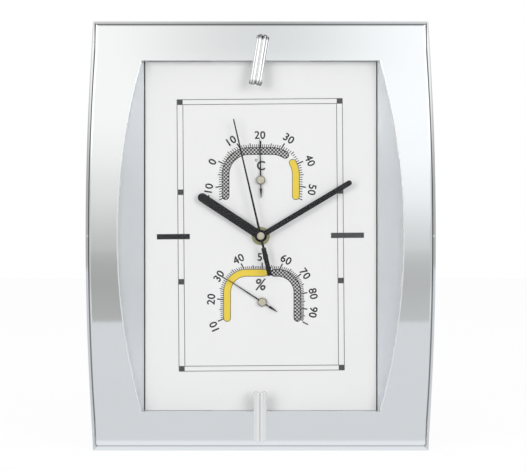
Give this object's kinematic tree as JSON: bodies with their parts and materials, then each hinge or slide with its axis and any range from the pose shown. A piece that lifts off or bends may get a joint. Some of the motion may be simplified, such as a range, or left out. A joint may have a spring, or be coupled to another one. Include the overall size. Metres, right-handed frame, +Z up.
{
  "type": "wall clock with thermometer and hygrometer",
  "caption": "Pillow-shaped silver wall clock with three hands, a thermometer and a hygrometer on one dial, geared to a battery movement behind it.",
  "frame": {"origin": "centre of the keyhole's round entry, on the rear face that lies on the wall", "axes": "+X to the right seen from the front, +Y toward the wall, +Z up; the dial faces -Y"},
  "size_m": [0.2742, 0.045, 0.3402],
  "materials": {
    "silver_plastic": "glossy metallic silver",
    "satin_silver": "satin silver lacquer",
    "chrome_plating": "polished chrome plating",
    "clear_lens": "clear, polished",
    "dial_print": "printed paper card, semi-matt",
    "white_plastic": "plain moulded",
    "grey_plastic": "fine moulded texture",
    "black_plastic": "plain moulded",
    "black_paint": "satin black",
    "brass": "plain",
    "champagne_metal": "pale champagne, satin",
    "steel": "zinc-plated",
    "copper_wire": "enamelled copper wire",
    "bimetal_strip": "rolled strip",
    "treated_strip": "rolled strip with a coated face",
    "green_laminate": "solder mask over laminate",
    "battery_wrap": "plain wrapped sleeve with bare ends",
    "rubber": "plain"
  },
  "bodies": {
    "case": {"front_frame": "silver_plastic", "lens": "clear_lens", "inner_bezel": "satin_silver", "upper_clip": "chrome_plating", "lower_clip": "chrome_plating", "clip_push_nuts": "steel", "dial_card": "dial_print", "dial_board": "white_plastic", "board_screws": "steel", "back_cover": "grey_plastic", "cover_screws": "steel", "movement_front": "black_plastic", "movement_case": "black_plastic", "rubber_washer": "rubber", "brass_washer": "brass", "brass_nut": "brass", "stator_plate": "steel", "coil_core": "steel", "coil_bobbin": "white_plastic", "coil_winding": "copper_wire", "circuit_board": "green_laminate", "control_chip": "black_plastic", "quartz_can": "steel", "positive_contact": "brass", "negative_contact": "brass", "thermometer_cup": "white_plastic", "thermometer_coil": "bimetal_strip", "hygrometer_cup": "white_plastic", "hygrometer_coil": "treated_strip", "cup_screws": "steel"},
    "second_works": {"second_wheel": "steel", "second_hand": "black_paint", "second_hand_cap": "champagne_metal"},
    "minute_works": {"centre_wheel": "brass", "minute_hand": "black_paint"},
    "hour_works": {"hour_wheel": "white_plastic", "hour_hand": "black_paint"},
    "third_works": {"third_wheel": "white_plastic"},
    "minute_reducer": {"minute_wheel": "white_plastic"},
    "setting_works": {"setting_knob": "white_plastic"},
    "intermediate_works": {"intermediate_wheel": "white_plastic"},
    "rotor": {"rotor_magnet": "steel", "rotor_pinion": "white_plastic"},
    "thermometer_needle": {"thermometer_arbor": "brass", "thermometer_pointer": "black_paint", "thermometer_cap": "champagne_metal"},
    "hygrometer_needle": {"hygrometer_arbor": "brass", "hygrometer_pointer": "black_paint", "hygrometer_cap": "champagne_metal"},
    "battery": {"battery": "battery_wrap"}
  },
  "joints": [
    {"name": "second_spin", "type": "hinge", "parent": "case", "child": "second_works", "pos_m": [0, -0.012, -0.13], "axis": [0, 1, 0], "continuous": true},
    {"name": "minute_spin", "type": "hinge", "parent": "case", "child": "minute_works", "pos_m": [0, -0.012, -0.13], "axis": [0, 1, 0], "continuous": true},
    {"name": "hour_spin", "type": "hinge", "parent": "case", "child": "hour_works", "pos_m": [0, -0.012, -0.13], "axis": [0, 1, 0], "continuous": true},
    {"name": "third_spin", "type": "hinge", "parent": "case", "child": "third_works", "pos_m": [-0.0108, -0.012, -0.13], "axis": [0, 1, 0], "continuous": true},
    {"name": "minute_wheel_spin", "type": "hinge", "parent": "case", "child": "minute_reducer", "pos_m": [0.01064, -0.012, -0.13188], "axis": [0, 1, 0], "continuous": true},
    {"name": "knob_spin", "type": "hinge", "parent": "case", "child": "setting_works", "pos_m": [0.01948, -0.012, -0.12568], "axis": [0, 1, 0], "continuous": true},
    {"name": "intermediate_spin", "type": "hinge", "parent": "case", "child": "intermediate_works", "pos_m": [0.0028, -0.012, -0.11957], "axis": [0, 1, 0], "continuous": true},
    {"name": "rotor_spin", "type": "hinge", "parent": "case", "child": "rotor", "pos_m": [-0.00548, -0.012, -0.11811], "axis": [0, 1, 0], "continuous": true},
    {"name": "thermometer_turn", "type": "hinge", "parent": "case", "child": "thermometer_needle", "pos_m": [0, -0.026, -0.086], "axis": [0, 1, 0], "range_deg": [-97.7, 100.3], "stiffness_Nm_per_rad": 0.0002},
    {"name": "hygrometer_turn", "type": "hinge", "parent": "case", "child": "hygrometer_needle", "pos_m": [0.0012, -0.026, -0.182], "axis": [0, 1, 0], "range_deg": [-57, 156.5], "stiffness_Nm_per_rad": 0.0002},
    {"name": "battery_slide", "type": "slide", "parent": "case", "child": "battery", "axis": [0, 1, 0], "range_m": [0, 0.019]}
  ],
  "couplings": [
    {"joint": "minute_spin", "follows": "second_spin", "ratio": 0.016667},
    {"joint": "hour_spin", "follows": "second_spin", "ratio": 0.0013889},
    {"joint": "third_spin", "follows": "second_spin", "ratio": -0.125},
    {"joint": "minute_wheel_spin", "follows": "second_spin", "ratio": -0.0055556},
    {"joint": "knob_spin", "follows": "second_spin", "ratio": 0.016667},
    {"joint": "intermediate_spin", "follows": "second_spin", "ratio": -5},
    {"joint": "rotor_spin", "follows": "second_spin", "ratio": 30}
  ]
}
